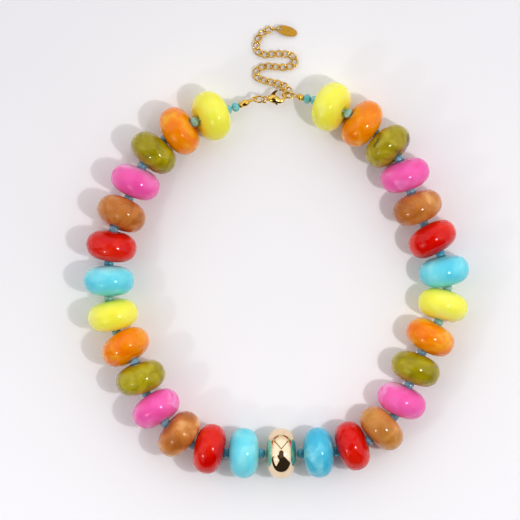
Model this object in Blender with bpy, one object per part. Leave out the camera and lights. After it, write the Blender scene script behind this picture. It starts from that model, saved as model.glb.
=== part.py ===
"""A resin bead necklace lying closed in a ring, with its extender chain and tag laid out behind.

Units are metres and +Z is up. The strand lies on the plane z = 0. It is laid out bead by bead from
the gold bead at the front, and the whole is then moved so that the middle of its box is at x = y = 0.
"""

import math

import bmesh
import bpy
from mathutils import Matrix, Vector

MM = 0.001

# Large beads: fat discs with rounded faces, a bore and a shallow dimple at each mouth
BEAD_RADIUS = 10.0 * MM
BEAD_HALF_THICKNESS = 5.95 * MM
BEAD_FACE_FULLNESS = 2.1
BEAD_RIM_FULLNESS = 3.1
BEAD_BORE_RADIUS = 0.9 * MM
DIMPLE_RADIUS = 2.6 * MM
DIMPLE_DEPTH = 1.15 * MM
GOLD_DIMPLE_DEPTH = 0.3 * MM
BEAD_SIDES = 14
FACE_ANGLES_DEG = (28.0, 52.0, 78.0)

# Half of the room that a bead takes on the strand, from its middle to the bend beyond its face
HALF_PITCH = 6.9 * MM
GOLD_HALF_PITCH = 7.9 * MM
END_HALF_PITCH = 7.75 * MM

# Each bead from the left end to the right: colour, heading seen from above, lean out of the level
BEADS = (
    ("yellow", 201, 22),
    ("tangerine", 210, -11),
    ("olive", 230, 5),
    ("pink", 247, -4),
    ("caramel", 245, 10),
    ("red", 261, -5),
    ("turquoise", 271, 2),
    ("yellow", 282, -4),
    ("tangerine", 302, 9),
    ("olive", 290, -5),
    ("pink", 303, 8),
    ("caramel", 321, -5),
    ("red", 347, 2),
    ("turquoise", 359, 0),
    ("gold", 0, 0),
    ("turquoise", 3, 0),
    ("red", 19, 3),
    ("caramel", 43, -3),
    ("pink", 65, 4),
    ("olive", 68, -3),
    ("tangerine", 62, 3),
    ("yellow", 75, -4),
    ("turquoise", 101, 3),
    ("red", 119, -3),
    ("caramel", 112, 5),
    ("pink", 110, 6),
    ("olive", 132, -10),
    ("tangerine", 145, 11),
    ("yellow", 157, -22),
)
GOLD_INDEX = 14

# Thread and the small round spacers on it
THREAD_RADIUS = 0.4 * MM
SPACER_RADIUS = 1.8 * MM
SPACER_HALF_LENGTH = 1.3 * MM
SPACER_SHOULDER = 0.45
THREAD_INTO_TIP = 1.0 * MM
STRAND_SIDES = 6

# Metal fittings, as places in millimetres from the gold bead's middle, heights from the floor
LEFT_TIP_BASE = (-16.6, 137.9, 5.8)
LEFT_TIP_LOOP = (-10.75, 140.6, 4.8)
RIGHT_TIP_BASE = (9.0, 140.9, 5.8)
RIGHT_TIP_LOOP = (4.9, 142.1, 4.7)
CLASP_EYE = (-6.7, 140.45, 4.6)
CLASP_HEADING_DEG = 10.0
TIP_PROFILE = ((0.0, 1.3), (0.13, 1.3), (0.21, 1.1), (0.36, 1.4), (0.54, 1.4), (0.7, 0.95), (0.84, 0.55), (1.0, 0.45))
TIP_SOCKET_RADIUS = 0.85 * MM
TIP_SOCKET_DEPTH = 1.4 * MM
TIP_SIDES = 8
LOOP_RADIUS = 1.05 * MM
LOOP_WIRE_RADIUS = 0.28 * MM
LINK_WIRE_RADIUS = 0.36 * MM
LINK_HALF_WIDTH = 1.65 * MM
LINK_SEAT = 0.12 * MM
LEFT_LINK_TILT_DEG = 48.0
HELD_LINK_TILT_DEG = -52.0
RING_STEPS = 12
RING_SIDES = 5

# Extender chain: route of its middle line in millimetres, as above
CHAIN_ROUTE = (
    (2.9, 142.9, 4.2),
    (2.7, 144.9, 2.9),
    (-0.6, 146.8, 1.45),
    (-6.0, 148.0, 1.2),
    (-9.5, 149.6, 1.15),
    (-9.4, 152.4, 1.15),
    (-5.6, 153.9, 1.15),
    (1.2, 153.4, 1.15),
    (5.2, 154.7, 1.15),
    (4.4, 158.1, 1.15),
    (-1.1, 158.9, 1.15),
    (-7.2, 158.6, 1.15),
    (-9.8, 161.2, 1.15),
    (-8.6, 165.8, 1.15),
    (-4.6, 168.5, 1.25),
    (-0.65, 168.75, 1.7),
)
CURVE_STEPS = 12
CHAIN_PITCH = 2.8 * MM
CHAIN_WIRE_RADIUS = 0.35 * MM
CHAIN_HALF_WIDTH = 1.05 * MM
CHAIN_TWIST_DEG = 45.0
TAG_LINK_TURN_DEG = 90.0
CHAIN_FUSE = 0.1 * MM
CHAIN_STEPS = 8
CHAIN_SIDES = 4

# Tag: a pointed oval plate, hung by its hole and lying down to the floor at its far tip
TAG_HEADING_DEG = -15.0
TAG_DROP_DEG = 10.0
TAG_LENGTH = 8.7 * MM
TAG_HALF_WIDTH = 2.0 * MM
TAG_THICKNESS = 0.4 * MM
TAG_HOLE_INSET = 1.3 * MM
TAG_HOLE_RADIUS = 0.75 * MM
TAG_STEPS = 9

# Lobster clasp, in its own frame: x runs from the eye's middle to the nose, in millimetres
HOOK_PATH = (
    (0.85, 0.0, 0.42),
    (1.6, 0.0, 0.95),
    (2.5, -0.05, 1.5),
    (3.5, -0.35, 1.75),
    (4.6, -1.0, 1.6),
    (5.6, -1.6, 1.15),
    (6.6, -1.7, 0.92),
    (7.6, -1.25, 0.72),
    (8.4, -0.35, 0.6),
    (8.7, 0.7, 0.55),
    (8.35, 1.85, 0.52),
    (7.5, 2.6, 0.48),
    (6.6, 2.75, 0.4),
)
HOOK_SIDES = 10
HOOK_FLATTEN = 0.75
HELD_IN_HOOK = (7.45, 0.6, 0.1)
PIVOT = (3.7, -0.4)
PIN_RADIUS = 0.3 * MM
PIN_HALF_HEIGHT = 0.85 * MM
PIN_SIDES = 10
SLOT_HALF_HEIGHT = 0.6 * MM
SLOT_REACH = 3.4 * MM
SLOT_START = 2.3
SLOT_END = 5.7
EYE_RADIUS = 1.2 * MM
LEVER_HALF_HEIGHT = 0.32 * MM
LEVER_HOLE_RADIUS = 0.6 * MM
LEVER_OUTLINE = (
    (2.75, 0.2),
    (2.85, 1.2),
    (3.3, 2.0),
    (4.3, 2.6),
    (5.4, 2.85),
    (6.1, 2.4),
    (5.25, 1.95),
    (4.75, 1.3),
    (4.5, 0.4),
    (4.6, -0.9),
    (4.75, -1.9),
    (5.1, -2.95),
    (4.4, -3.15),
    (3.9, -2.2),
    (3.2, -1.4),
    (2.85, -0.7),
)

# Colours as linear red, green and blue, with roughness, metallic and transmission
FINISHES = {
    "yellow": ((0.87, 0.82, 0.03), 0.12, 0.0, 0.1),
    "tangerine": ((0.90, 0.23, 0.01), 0.12, 0.0, 0.15),
    "olive": ((0.30, 0.26, 0.01), 0.12, 0.0, 0.3),
    "pink": ((0.84, 0.09, 0.40), 0.12, 0.0, 0.1),
    "caramel": ((0.48, 0.13, 0.02), 0.12, 0.0, 0.2),
    "red": ((0.68, 0.01, 0.005), 0.12, 0.0, 0.1),
    "turquoise": ((0.09, 0.60, 0.78), 0.12, 0.0, 0.1),
    "gold": ((0.90, 0.66, 0.42), 0.06, 1.0, 0.0),
    "strand": ((0.14, 0.55, 0.56), 0.15, 0.0, 0.3),
    "brass": ((0.80, 0.52, 0.14), 0.2, 1.0, 0.0),
}


def clear_scene():
    """Remove every object that the file holds."""
    for item in list(bpy.data.objects):
        bpy.data.objects.remove(item, do_unlink=True)


def make_materials():
    """Make one Principled material for each finish."""
    made = {}
    for name, (colour, roughness, metallic, transmission) in FINISHES.items():
        material = bpy.data.materials.new(name)
        material.use_nodes = True
        shader = material.node_tree.nodes["Principled BSDF"]
        shader.inputs["Base Color"].default_value = (*colour, 1.0)
        shader.inputs["Roughness"].default_value = roughness
        shader.inputs["Metallic"].default_value = metallic
        shader.inputs["Transmission Weight"].default_value = transmission
        made[name] = material
    return made


def millimetres(point):
    """Return a point that is written in millimetres as a vector in metres."""
    return Vector(point) * MM


def mesh_from_bmesh(name, form):
    """Turn a bmesh into a smooth-shaded mesh with its faces pointing out."""
    bmesh.ops.recalc_face_normals(form, faces=form.faces)
    mesh = bpy.data.meshes.new(name)
    form.to_mesh(mesh)
    form.free()
    mesh.shade_smooth()
    mesh.set_sharp_from_angle(angle=math.radians(40.0))
    return mesh


def add_object(name, mesh, material, placement=None):
    """Put a mesh in the scene under a name, with its own material slot."""
    item = bpy.data.objects.new(name, mesh)
    bpy.context.scene.collection.objects.link(item)
    if not mesh.materials:
        mesh.materials.append(None)
    item.material_slots[0].link = "OBJECT"
    item.material_slots[0].material = material
    if placement is not None:
        item.matrix_world = placement
    return item


def direction(heading_deg, lean_deg=0.0):
    """Unit vector along a heading in the plane, rising by a lean."""
    heading = math.radians(heading_deg)
    lean = math.radians(lean_deg)
    flat = Vector((math.cos(heading), math.sin(heading), 0.0))
    return flat * math.cos(lean) + Vector((0.0, 0.0, math.sin(lean)))


def axes_along(forward, origin):
    """Placement whose X runs forward, with Z as near upright as that allows."""
    side = Vector((0.0, 0.0, 1.0)).cross(forward).normalized()
    upright = forward.cross(side).normalized()
    turn = Matrix((forward, side, upright)).transposed().to_4x4()
    return Matrix.Translation(origin) @ turn


def bridge_rings(form, rings, closed):
    """Join neighbouring rings of vertices with quads, and the last to the first when closed."""
    pairs = list(zip(rings, rings[1:]))
    if closed:
        pairs.append((rings[-1], rings[0]))
    for first, second in pairs:
        count = len(first)
        for index in range(count):
            after = (index + 1) % count
            form.faces.new((first[index], first[after], second[after], second[index]))


def turned_mesh(name, profile, sides):
    """Turn a closed profile of (along, radius) points about the X axis, a facet facing down."""
    form = bmesh.new()
    rings = []
    for along, radius in profile:
        ring = []
        for index in range(sides):
            angle = 2.0 * math.pi * (index + 0.5) / sides - 0.5 * math.pi
            ring.append(form.verts.new((along, radius * math.cos(angle), radius * math.sin(angle))))
        rings.append(ring)
    bridge_rings(form, rings, closed=True)
    return mesh_from_bmesh(name, form)


def bead_profile(dimple_depth):
    """Closed half-section of a bead: a full oval outside, a dimple and the bore inside."""
    face_power = 2.0 / BEAD_FACE_FULLNESS
    rim_power = 2.0 / BEAD_RIM_FULLNESS
    crown = math.radians(FACE_ANGLES_DEG[-1])
    facet_radius = BEAD_RADIUS / math.cos(math.pi / BEAD_SIDES)
    scale = facet_radius / math.sin(crown) ** rim_power
    lip_angle = math.asin((DIMPLE_RADIUS / scale) ** (1.0 / rim_power))
    angles = [lip_angle] + [math.radians(value) for value in FACE_ANGLES_DEG]
    half = []
    for angle in angles:
        along = BEAD_HALF_THICKNESS * math.cos(angle) ** face_power
        half.append((along, scale * math.sin(angle) ** rim_power))
    bore_mouth = BEAD_HALF_THICKNESS - dimple_depth
    front = [(bore_mouth, BEAD_BORE_RADIUS)] + half
    back = [(-along, radius) for along, radius in reversed(front)]
    return front + back


def half_pitch(index):
    """Room that a bead takes along the strand, from its middle to the bend on either side."""
    if index == GOLD_INDEX:
        return GOLD_HALF_PITCH
    if index in (0, len(BEADS) - 1):
        return END_HALF_PITCH
    return HALF_PITCH


def rest_height(mesh, forward):
    """Height of a bead's middle when its lowest vertex is on the floor."""
    turn = axes_along(forward, Vector())
    return -min((turn @ vertex.co).z for vertex in mesh.vertices)


def lay_out_beads(resin_mesh):
    """Middle and forward direction of every bead, chained both ways from the gold one."""
    forwards = [direction(heading, lean) for _, heading, lean in BEADS]
    middles = [None] * len(BEADS)
    middles[GOLD_INDEX] = Vector()
    for index in range(GOLD_INDEX + 1, len(BEADS)):
        step = forwards[index - 1] * half_pitch(index - 1) + forwards[index] * half_pitch(index)
        middles[index] = middles[index - 1] + step
    for index in range(GOLD_INDEX - 1, -1, -1):
        step = forwards[index + 1] * half_pitch(index + 1) + forwards[index] * half_pitch(index)
        middles[index] = middles[index + 1] - step
    for middle, forward in zip(middles, forwards):
        middle.z = rest_height(resin_mesh, forward)
    return middles, forwards


def make_beads(materials):
    """Make the beads on their shared meshes and return where they lie."""
    resin_mesh = turned_mesh("resin_bead", bead_profile(DIMPLE_DEPTH), BEAD_SIDES)
    gold_mesh = turned_mesh("gold_bead", bead_profile(GOLD_DIMPLE_DEPTH), BEAD_SIDES)
    middles, forwards = lay_out_beads(resin_mesh)
    for index, (colour, _, _) in enumerate(BEADS):
        mesh = gold_mesh if index == GOLD_INDEX else resin_mesh
        placement = axes_along(forwards[index], middles[index])
        add_object(f"bead_{index + 1:02d}", mesh, materials[colour], placement)
    return middles, forwards


def loft_form(rings, sides, flatten=1.0):
    """Closed tube through rings of (middle, forward, radius), capped at both ends."""
    form = bmesh.new()
    loops = []
    for middle, forward, radius in rings:
        side = Vector((0.0, 0.0, 1.0)).cross(forward).normalized()
        upright = forward.cross(side).normalized()
        loop = []
        for index in range(sides):
            angle = 2.0 * math.pi * index / sides
            offset = side * math.cos(angle) + upright * math.sin(angle) * flatten
            loop.append(form.verts.new(middle + offset * radius))
        loops.append(loop)
    bridge_rings(form, loops, closed=False)
    form.faces.new(loops[0])
    form.faces.new(loops[-1])
    return form


def spacer_rings(middle, forward):
    """Rings of one spacer on the thread, a short barrel with sloping shoulders."""
    belly = SPACER_RADIUS / math.cos(math.pi / STRAND_SIDES)
    stations = (
        (-1.0, THREAD_RADIUS),
        (-SPACER_SHOULDER, belly),
        (SPACER_SHOULDER, belly),
        (1.0, THREAD_RADIUS),
    )
    return [(middle + forward * along * SPACER_HALF_LENGTH, forward, radius) for along, radius in stations]


def end_rings(mouth, base):
    """Rings of the pair of spacers between an end bead's mouth and its tip, in that order."""
    forward = (base - mouth).normalized()
    clear = ((base - mouth).length - 4.0 * SPACER_HALF_LENGTH) / 3.0
    first = mouth + forward * (clear + SPACER_HALF_LENGTH)
    second = base - forward * (clear + SPACER_HALF_LENGTH)
    thread_end = (base + forward * THREAD_INTO_TIP, forward, THREAD_RADIUS)
    return spacer_rings(first, forward) + spacer_rings(second, forward) + [thread_end]


def make_strand(materials, middles, forwards):
    """Make the thread with its spacers as one body, running through every bead."""
    left_base = millimetres(LEFT_TIP_BASE)
    right_base = millimetres(RIGHT_TIP_BASE)
    left_mouth = middles[0] - forwards[0] * BEAD_HALF_THICKNESS
    right_mouth = middles[-1] + forwards[-1] * BEAD_HALF_THICKNESS
    left_end = reversed(end_rings(left_mouth, left_base))
    rings = [(middle, -forward, radius) for middle, forward, radius in left_end]
    bore = BEAD_HALF_THICKNESS - DIMPLE_DEPTH
    for index, (middle, forward) in enumerate(zip(middles, forwards)):
        rings.append((middle - forward * bore, forward, THREAD_RADIUS))
        rings.append((middle + forward * bore, forward, THREAD_RADIUS))
        if index + 1 < len(middles):
            leaving = middle + forward * half_pitch(index)
            entering = middles[index + 1] - forwards[index + 1] * half_pitch(index + 1)
            bend = (forward + forwards[index + 1]).normalized()
            rings.extend(spacer_rings((leaving + entering) * 0.5, bend))
    rings.extend(end_rings(right_mouth, right_base))
    mesh = mesh_from_bmesh("strand", loft_form(rings, STRAND_SIDES))
    add_object("strand", mesh, materials["strand"])


def ring_form(placement, half_length, half_width, wire, steps, sides, twist_deg=0.0):
    """Wire link in the placement's XY plane, with straight sides and half-round ends.

    A twist turns one end of the link about its length, and the other end by as much the other way.
    """
    form = bmesh.new()
    loops = []
    for step in range(steps):
        angle = 2.0 * math.pi * (step + 0.5) / steps
        outward = Vector((math.cos(angle), math.sin(angle), 0.0))
        straight = Vector((math.copysign(half_length - half_width, outward.x), 0.0, 0.0))
        middle = straight + outward * half_width
        roll = Matrix.Rotation(math.radians(twist_deg) * middle.x / half_length, 4, "X")
        loop = []
        for index in range(sides):
            turn = 2.0 * math.pi * (index + 0.5) / sides
            offset = outward * math.cos(turn) * wire + Vector((0.0, 0.0, math.sin(turn) * wire))
            loop.append(form.verts.new(placement @ roll @ (middle + offset)))
        loops.append(loop)
    bridge_rings(form, loops, closed=True)
    return form


def joined(target, others, operation="UNION"):
    """Apply one exact Boolean of the other objects on the target, and remove them."""
    group = bpy.data.collections.new("operands")
    bpy.context.scene.collection.children.link(group)
    for other in others:
        group.objects.link(other)
    cut = target.modifiers.new("join", "BOOLEAN")
    cut.operation = operation
    cut.solver = "EXACT"
    cut.operand_type = "COLLECTION"
    cut.collection = group
    settled = bpy.context.evaluated_depsgraph_get()
    mesh = bpy.data.meshes.new_from_object(target.evaluated_get(settled))
    target.modifiers.clear()
    target.data = mesh
    for other in others:
        bpy.data.objects.remove(other, do_unlink=True)
    bpy.data.collections.remove(group)
    return target


def small_loop(name, material, middle, forward, tilt_deg, radius=LOOP_RADIUS):
    """Small round wire loop whose plane holds the forward direction, turned about it out of the level."""
    flat = Vector((forward.x, forward.y, 0.0)).normalized()
    placement = axes_along(flat, middle) @ Matrix.Rotation(math.radians(tilt_deg), 4, "X")
    form = ring_form(placement, radius, radius, LOOP_WIRE_RADIUS, RING_STEPS, RING_SIDES)
    return add_object(name, mesh_from_bmesh(name, form), material)


def make_tip(name, material, base, loop_middle, link_tilt_deg):
    """Tapered metal cup that grips the thread's end, with a loop at its far side, square to its link."""
    forward = (loop_middle - base).normalized()
    length = (loop_middle - base).length - LOOP_RADIUS + LOOP_WIRE_RADIUS
    outside = [(along * length, radius * MM) for along, radius in TIP_PROFILE]
    socket = [(TIP_SOCKET_DEPTH, TIP_SOCKET_RADIUS), (0.0, TIP_SOCKET_RADIUS)]
    form = bmesh.new()
    rings = []
    for along, radius in socket + outside:
        ring = []
        for index in range(TIP_SIDES):
            angle = 2.0 * math.pi * index / TIP_SIDES
            ring.append(form.verts.new((along, radius * math.cos(angle), radius * math.sin(angle))))
        rings.append(ring)
    bridge_rings(form, rings, closed=False)
    form.faces.new(rings[0])
    form.faces.new(rings[-1])
    cup = add_object(name, mesh_from_bmesh(name, form), material, axes_along(forward, base))
    loop = small_loop(name + "_loop", material, loop_middle, forward, 90.0 + link_tilt_deg)
    return joined(cup, [loop])


def make_end_links(materials):
    """Make the links that join the tips to the clasp and to the extender, drawn against their loops."""
    brass = materials["brass"]
    held = clasp_placement() @ millimetres(HELD_IN_HOOK)
    seat = direction(CLASP_HEADING_DEG) * LINK_SEAT
    ends = {
        "link_left": (millimetres(LEFT_TIP_LOOP) + seat, millimetres(CLASP_EYE) - seat, LEFT_LINK_TILT_DEG),
        "link_right": (millimetres(RIGHT_TIP_LOOP) - seat, held, HELD_LINK_TILT_DEG),
    }
    for name, (start, end, tilt) in ends.items():
        placement = axes_along((end - start).normalized(), (start + end) * 0.5)
        placement = placement @ Matrix.Rotation(math.radians(tilt), 4, "X")
        half_length = (end - start).length * 0.5
        form = ring_form(placement, half_length, LINK_HALF_WIDTH, LINK_WIRE_RADIUS, RING_STEPS, RING_SIDES)
        add_object(name, mesh_from_bmesh(name, form), brass)


def clasp_placement():
    """Frame of the clasp: the eye's middle, x towards the nose, level with the floor."""
    return axes_along(direction(CLASP_HEADING_DEG), millimetres(CLASP_EYE))


def plate_form(outline, half_height):
    """Flat plate between minus and plus the half height, from an outline of (x, y) points."""
    form = bmesh.new()
    lower = [form.verts.new((x, y, -half_height)) for x, y in outline]
    upper = [form.verts.new((x, y, half_height)) for x, y in outline]
    bridge_rings(form, [lower, upper], closed=False)
    form.faces.new(lower)
    form.faces.new(upper)
    return form


def circle(centre, radius, steps):
    """Points of a circle as (x, y) pairs."""
    turns = [2.0 * math.pi * step / steps for step in range(steps)]
    return [(centre[0] + radius * math.cos(turn), centre[1] + radius * math.sin(turn)) for turn in turns]


def placed_plate(name, outline, half_height, material, placement):
    """Plate object from an outline, put at a placement."""
    return add_object(name, mesh_from_bmesh(name, plate_form(outline, half_height)), material, placement)


def hook_rings():
    """Rings of the clasp's hook, each facing along the path there."""
    points = [Vector((x * MM, y * MM, 0.0)) for x, y, _ in HOOK_PATH]
    rings = []
    for index, point in enumerate(points):
        before = points[max(index - 1, 0)]
        after = points[min(index + 1, len(points) - 1)]
        rings.append((point, (after - before).normalized(), HOOK_PATH[index][2] * MM))
    return rings


def make_clasp(materials):
    """Make the hooked body with its eye and pivot pin, and the sprung lever on that pin."""
    brass = materials["brass"]
    placement = clasp_placement()
    pivot = (PIVOT[0] * MM, PIVOT[1] * MM)
    mesh = mesh_from_bmesh("clasp_body", loft_form(hook_rings(), HOOK_SIDES, HOOK_FLATTEN))
    body = add_object("clasp_body", mesh, brass, placement)
    corners = ((SLOT_START, -1.0), (SLOT_END, -1.0), (SLOT_END, 1.0), (SLOT_START, 1.0))
    slot = [(x * MM, y * SLOT_REACH) for x, y in corners]
    joined(body, [placed_plate("slot", slot, SLOT_HALF_HEIGHT, brass, placement)], "DIFFERENCE")
    pin = placed_plate("pin", circle(pivot, PIN_RADIUS, PIN_SIDES), PIN_HALF_HEIGHT, brass, placement)
    eye = small_loop("eye", brass, millimetres(CLASP_EYE), direction(CLASP_HEADING_DEG), 0.0, EYE_RADIUS)
    joined(body, [pin, eye])
    outline = [(x * MM, y * MM) for x, y in LEVER_OUTLINE]
    lever = placed_plate("clasp_lever", outline, LEVER_HALF_HEIGHT, brass, placement)
    pin_hole = circle(pivot, LEVER_HOLE_RADIUS, PIN_SIDES)
    joined(lever, [placed_plate("hole", pin_hole, PIN_HALF_HEIGHT, brass, placement)], "DIFFERENCE")


def curve_points(route, steps):
    """Points along a smooth curve through the route's points, with equal steps in each span."""
    knots = [millimetres(point) for point in route]
    padded = [knots[0] * 2.0 - knots[1], *knots, knots[-1] * 2.0 - knots[-2]]
    points = []
    for before, start, end, after in zip(padded, padded[1:], padded[2:], padded[3:]):
        for step in range(steps):
            t = step / steps
            even = start * 2.0 + (end - before) * t
            bend = (before * 2.0 - start * 5.0 + end * 4.0 - after) * t * t
            twist = (start * 3.0 - before - end * 3.0 + after) * t * t * t
            points.append((even + bend + twist) * 0.5)
    points.append(knots[-1])
    return points


def along_curve(points, distance):
    """Point and unit tangent at a distance along a row of points."""
    index = 0
    length = (points[1] - points[0]).length
    while distance > length and index + 2 < len(points):
        distance -= length
        index += 1
        length = (points[index + 1] - points[index]).length
    forward = (points[index + 1] - points[index]).normalized()
    return points[index] + forward * distance, forward


def make_chain(materials):
    """Make the extender chain: twisted links through each other, fused where their wires cross."""
    points = curve_points(CHAIN_ROUTE, CURVE_STEPS)
    total = sum((end - start).length for start, end in zip(points, points[1:]))
    reach = 0.5 * (CHAIN_PITCH - CHAIN_FUSE) + CHAIN_WIRE_RADIUS
    count = round((total - 2.0 * reach) / CHAIN_PITCH) + 1
    pitch = (total - 2.0 * reach) / (count - 1)
    half_length = 0.5 * (pitch - CHAIN_FUSE) + CHAIN_WIRE_RADIUS
    links = []
    for index in range(count):
        middle, forward = along_curve(points, reach + index * pitch)
        placement = axes_along(forward, middle)
        twist = CHAIN_TWIST_DEG
        if index == count - 1:
            placement = placement @ Matrix.Rotation(math.radians(TAG_LINK_TURN_DEG), 4, "X")
            twist = 0.0
        sizes = (half_length, CHAIN_HALF_WIDTH, CHAIN_WIRE_RADIUS, CHAIN_STEPS, CHAIN_SIDES)
        mesh = mesh_from_bmesh("link", ring_form(placement, *sizes, twist))
        links.append(add_object(f"link_{index}", mesh, materials["brass"]))
    links[0].name = "chain"
    joined(links[0], links[1:])


def make_tag(materials):
    """Make the plain oval tag, its hole round the last link of the chain."""
    half = 0.5 * TAG_LENGTH
    upper = []
    for step in range(TAG_STEPS):
        turn = math.pi * step / TAG_STEPS
        upper.append((half - half * math.cos(turn), TAG_HALF_WIDTH * math.sin(turn)))
    lower = [(TAG_LENGTH - x, -y) for x, y in upper]
    outline = [(x - TAG_HOLE_INSET, y) for x, y in upper + lower]
    placement = axes_along(direction(TAG_HEADING_DEG, -TAG_DROP_DEG), millimetres(CHAIN_ROUTE[-1]))
    brass = materials["brass"]
    tag = placed_plate("tag", outline, 0.5 * TAG_THICKNESS, brass, placement)
    round_hole = circle((0.0, 0.0), TAG_HOLE_RADIUS, PIN_SIDES)
    joined(tag, [placed_plate("hole", round_hole, TAG_THICKNESS, brass, placement)], "DIFFERENCE")


def centre_on_floor():
    """Hang every object on one empty, and move it so that the whole box is centred on x = y = 0."""
    bpy.context.view_layer.update()
    solids = list(bpy.context.scene.objects)
    places = [item.matrix_world @ vertex.co for item in solids for vertex in item.data.vertices]
    middle_x = 0.5 * (min(place.x for place in places) + max(place.x for place in places))
    middle_y = 0.5 * (min(place.y for place in places) + max(place.y for place in places))
    anchor = bpy.data.objects.new("necklace", None)
    bpy.context.scene.collection.objects.link(anchor)
    for item in solids:
        item.parent = anchor
    anchor.location = (-middle_x, -middle_y, 0.0)


def main():
    """Build the whole necklace."""
    clear_scene()
    materials = make_materials()
    middles, forwards = make_beads(materials)
    make_strand(materials, middles, forwards)
    brass = materials["brass"]
    make_tip("tip_left", brass, millimetres(LEFT_TIP_BASE), millimetres(LEFT_TIP_LOOP), LEFT_LINK_TILT_DEG)
    make_tip("tip_right", brass, millimetres(RIGHT_TIP_BASE), millimetres(RIGHT_TIP_LOOP), HELD_LINK_TILT_DEG)
    make_end_links(materials)
    make_clasp(materials)
    make_chain(materials)
    make_tag(materials)
    centre_on_floor()


main()
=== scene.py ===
"""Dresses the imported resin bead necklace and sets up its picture, taken from straight above.

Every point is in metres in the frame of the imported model. The sizes in the classes are in
millimetres, and a design place is measured from the gold bead's middle, with its height from the floor.
"""

import logging
import math
from dataclasses import dataclass, field
from enum import Enum
from typing import Any, Iterable, Optional, Sequence

import bmesh
import bpy
import numpy as np
from mathutils import Matrix, Vector


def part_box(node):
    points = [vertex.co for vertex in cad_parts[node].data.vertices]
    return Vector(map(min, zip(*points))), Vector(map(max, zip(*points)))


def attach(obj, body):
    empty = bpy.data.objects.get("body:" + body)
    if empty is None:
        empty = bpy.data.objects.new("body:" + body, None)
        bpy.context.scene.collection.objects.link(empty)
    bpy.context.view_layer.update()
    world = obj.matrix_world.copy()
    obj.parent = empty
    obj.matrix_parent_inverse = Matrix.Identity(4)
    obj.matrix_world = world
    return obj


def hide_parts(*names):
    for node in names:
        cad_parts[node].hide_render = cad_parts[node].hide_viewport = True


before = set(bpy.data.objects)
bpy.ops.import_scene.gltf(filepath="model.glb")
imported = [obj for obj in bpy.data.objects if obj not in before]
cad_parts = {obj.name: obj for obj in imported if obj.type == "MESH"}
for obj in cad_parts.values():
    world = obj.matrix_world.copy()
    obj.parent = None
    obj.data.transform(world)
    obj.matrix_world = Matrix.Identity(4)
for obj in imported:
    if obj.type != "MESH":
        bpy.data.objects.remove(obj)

LOG = logging.getLogger("necklace")
MM = 0.001
NECKLACE = "necklace"
LEVER = "lever"
HOLE_STEPS = 32
LINK_FULLNESS = 0.88


def linear(code: str) -> tuple[float, float, float, float]:
    """Turn an sRGB hex code into linear light.

    Args:
        code: Six hex digits after a hash.

    Returns:
        Red, green, blue and a full alpha.
    """
    parts = [int(code[start : start + 2], 16) / 255.0 for start in (1, 3, 5)]
    light = [part / 12.92 if part <= 0.04045 else ((part + 0.055) / 1.055) ** 2.4 for part in parts]
    return (light[0], light[1], light[2], 1.0)


def per_metre(size_mm: float) -> float:
    """Scale of a texture whose features are that many millimetres across."""
    return 1.0 / (size_mm * MM)


def add_node(
    tree: bpy.types.NodeTree,
    kind: str,
    inputs: Optional[dict[Any, Any]] = None,
    **settings: Any,
) -> bpy.types.Node:
    """Add a node with its settings, and set or link its inputs.

    Args:
        tree: Node tree that gets the node.
        kind: Node type, without its ShaderNode prefix.
        inputs: Input names or numbers, each with a value or the socket that feeds it.
        settings: Properties of the node.

    Returns:
        The new node.
    """
    node = tree.nodes.new("ShaderNode" + kind)
    for name, value in settings.items():
        setattr(node, name, value)
    for key, value in (inputs or {}).items():
        if isinstance(value, bpy.types.NodeSocket):
            tree.links.new(value, node.inputs[key])
        else:
            node.inputs[key].default_value = value
    return node


def mixed(tree: bpy.types.NodeTree, share: Any, first: Any, second: Any) -> bpy.types.NodeSocket:
    """Blend two colours by a share.

    Args:
        tree: Node tree that gets the blend.
        share: Number or socket, 0 for the first colour and 1 for the second.
        first: Colour or socket.
        second: Colour or socket.

    Returns:
        The blend's colour socket.
    """
    node = add_node(tree, "Mix", {0: share, 6: first, 7: second}, data_type="RGBA")
    return node.outputs[2]


def ranged(
    tree: bpy.types.NodeTree, value: Any, low: float, high: float, to_low: float = 0.0, to_high: float = 1.0
) -> bpy.types.NodeSocket:
    """Map a value smoothly from one range to another.

    Args:
        tree: Node tree that gets the node.
        value: Socket with the value.
        low: Value that gives to_low.
        high: Value that gives to_high.
        to_low: Result at the low end.
        to_high: Result at the high end.

    Returns:
        The result's socket.
    """
    inputs = {0: value, 1: low, 2: high, 3: to_low, 4: to_high}
    return add_node(tree, "MapRange", inputs, interpolation_type="SMOOTHSTEP").outputs[0]


# Levels of a noise, which lies round 0.5, between which one look fades into another
PALE_FOLDS = (0.48, 0.7)
DEEP_FOLDS = (0.5, 0.3)
VEIN_EDGE = (0.02, 0.0)
SHEEN_PATCHES = (0.3, 0.7)
WORN_PATCHES = (0.45, 0.75)
PLATING_PATCHES = (0.3, 0.75)
GLASS_CLOUDS = (0.35, 0.65)

RESIN_IOR = 1.58
GLASS_IOR = 1.52

# How far red, green and blue light go inside the bead, against its glow
RESIN_GLOW = (1.0, 0.8, 0.6)
GLASS_GLOW = (0.7, 1.0, 1.0)


class Figure(Enum):
    """How the pigment lies in a cast resin bead: how far its folds curl back and how much its veins show."""

    SOFT = (0.4, 0.0)
    STREAKED = (0.9, 0.3)
    CLOUDED = (1.6, 0.2)

    def __init__(self, curl: float, veins: float) -> None:
        """Keep both values under their names."""
        self.curl = curl
        self.veins = veins


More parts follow.
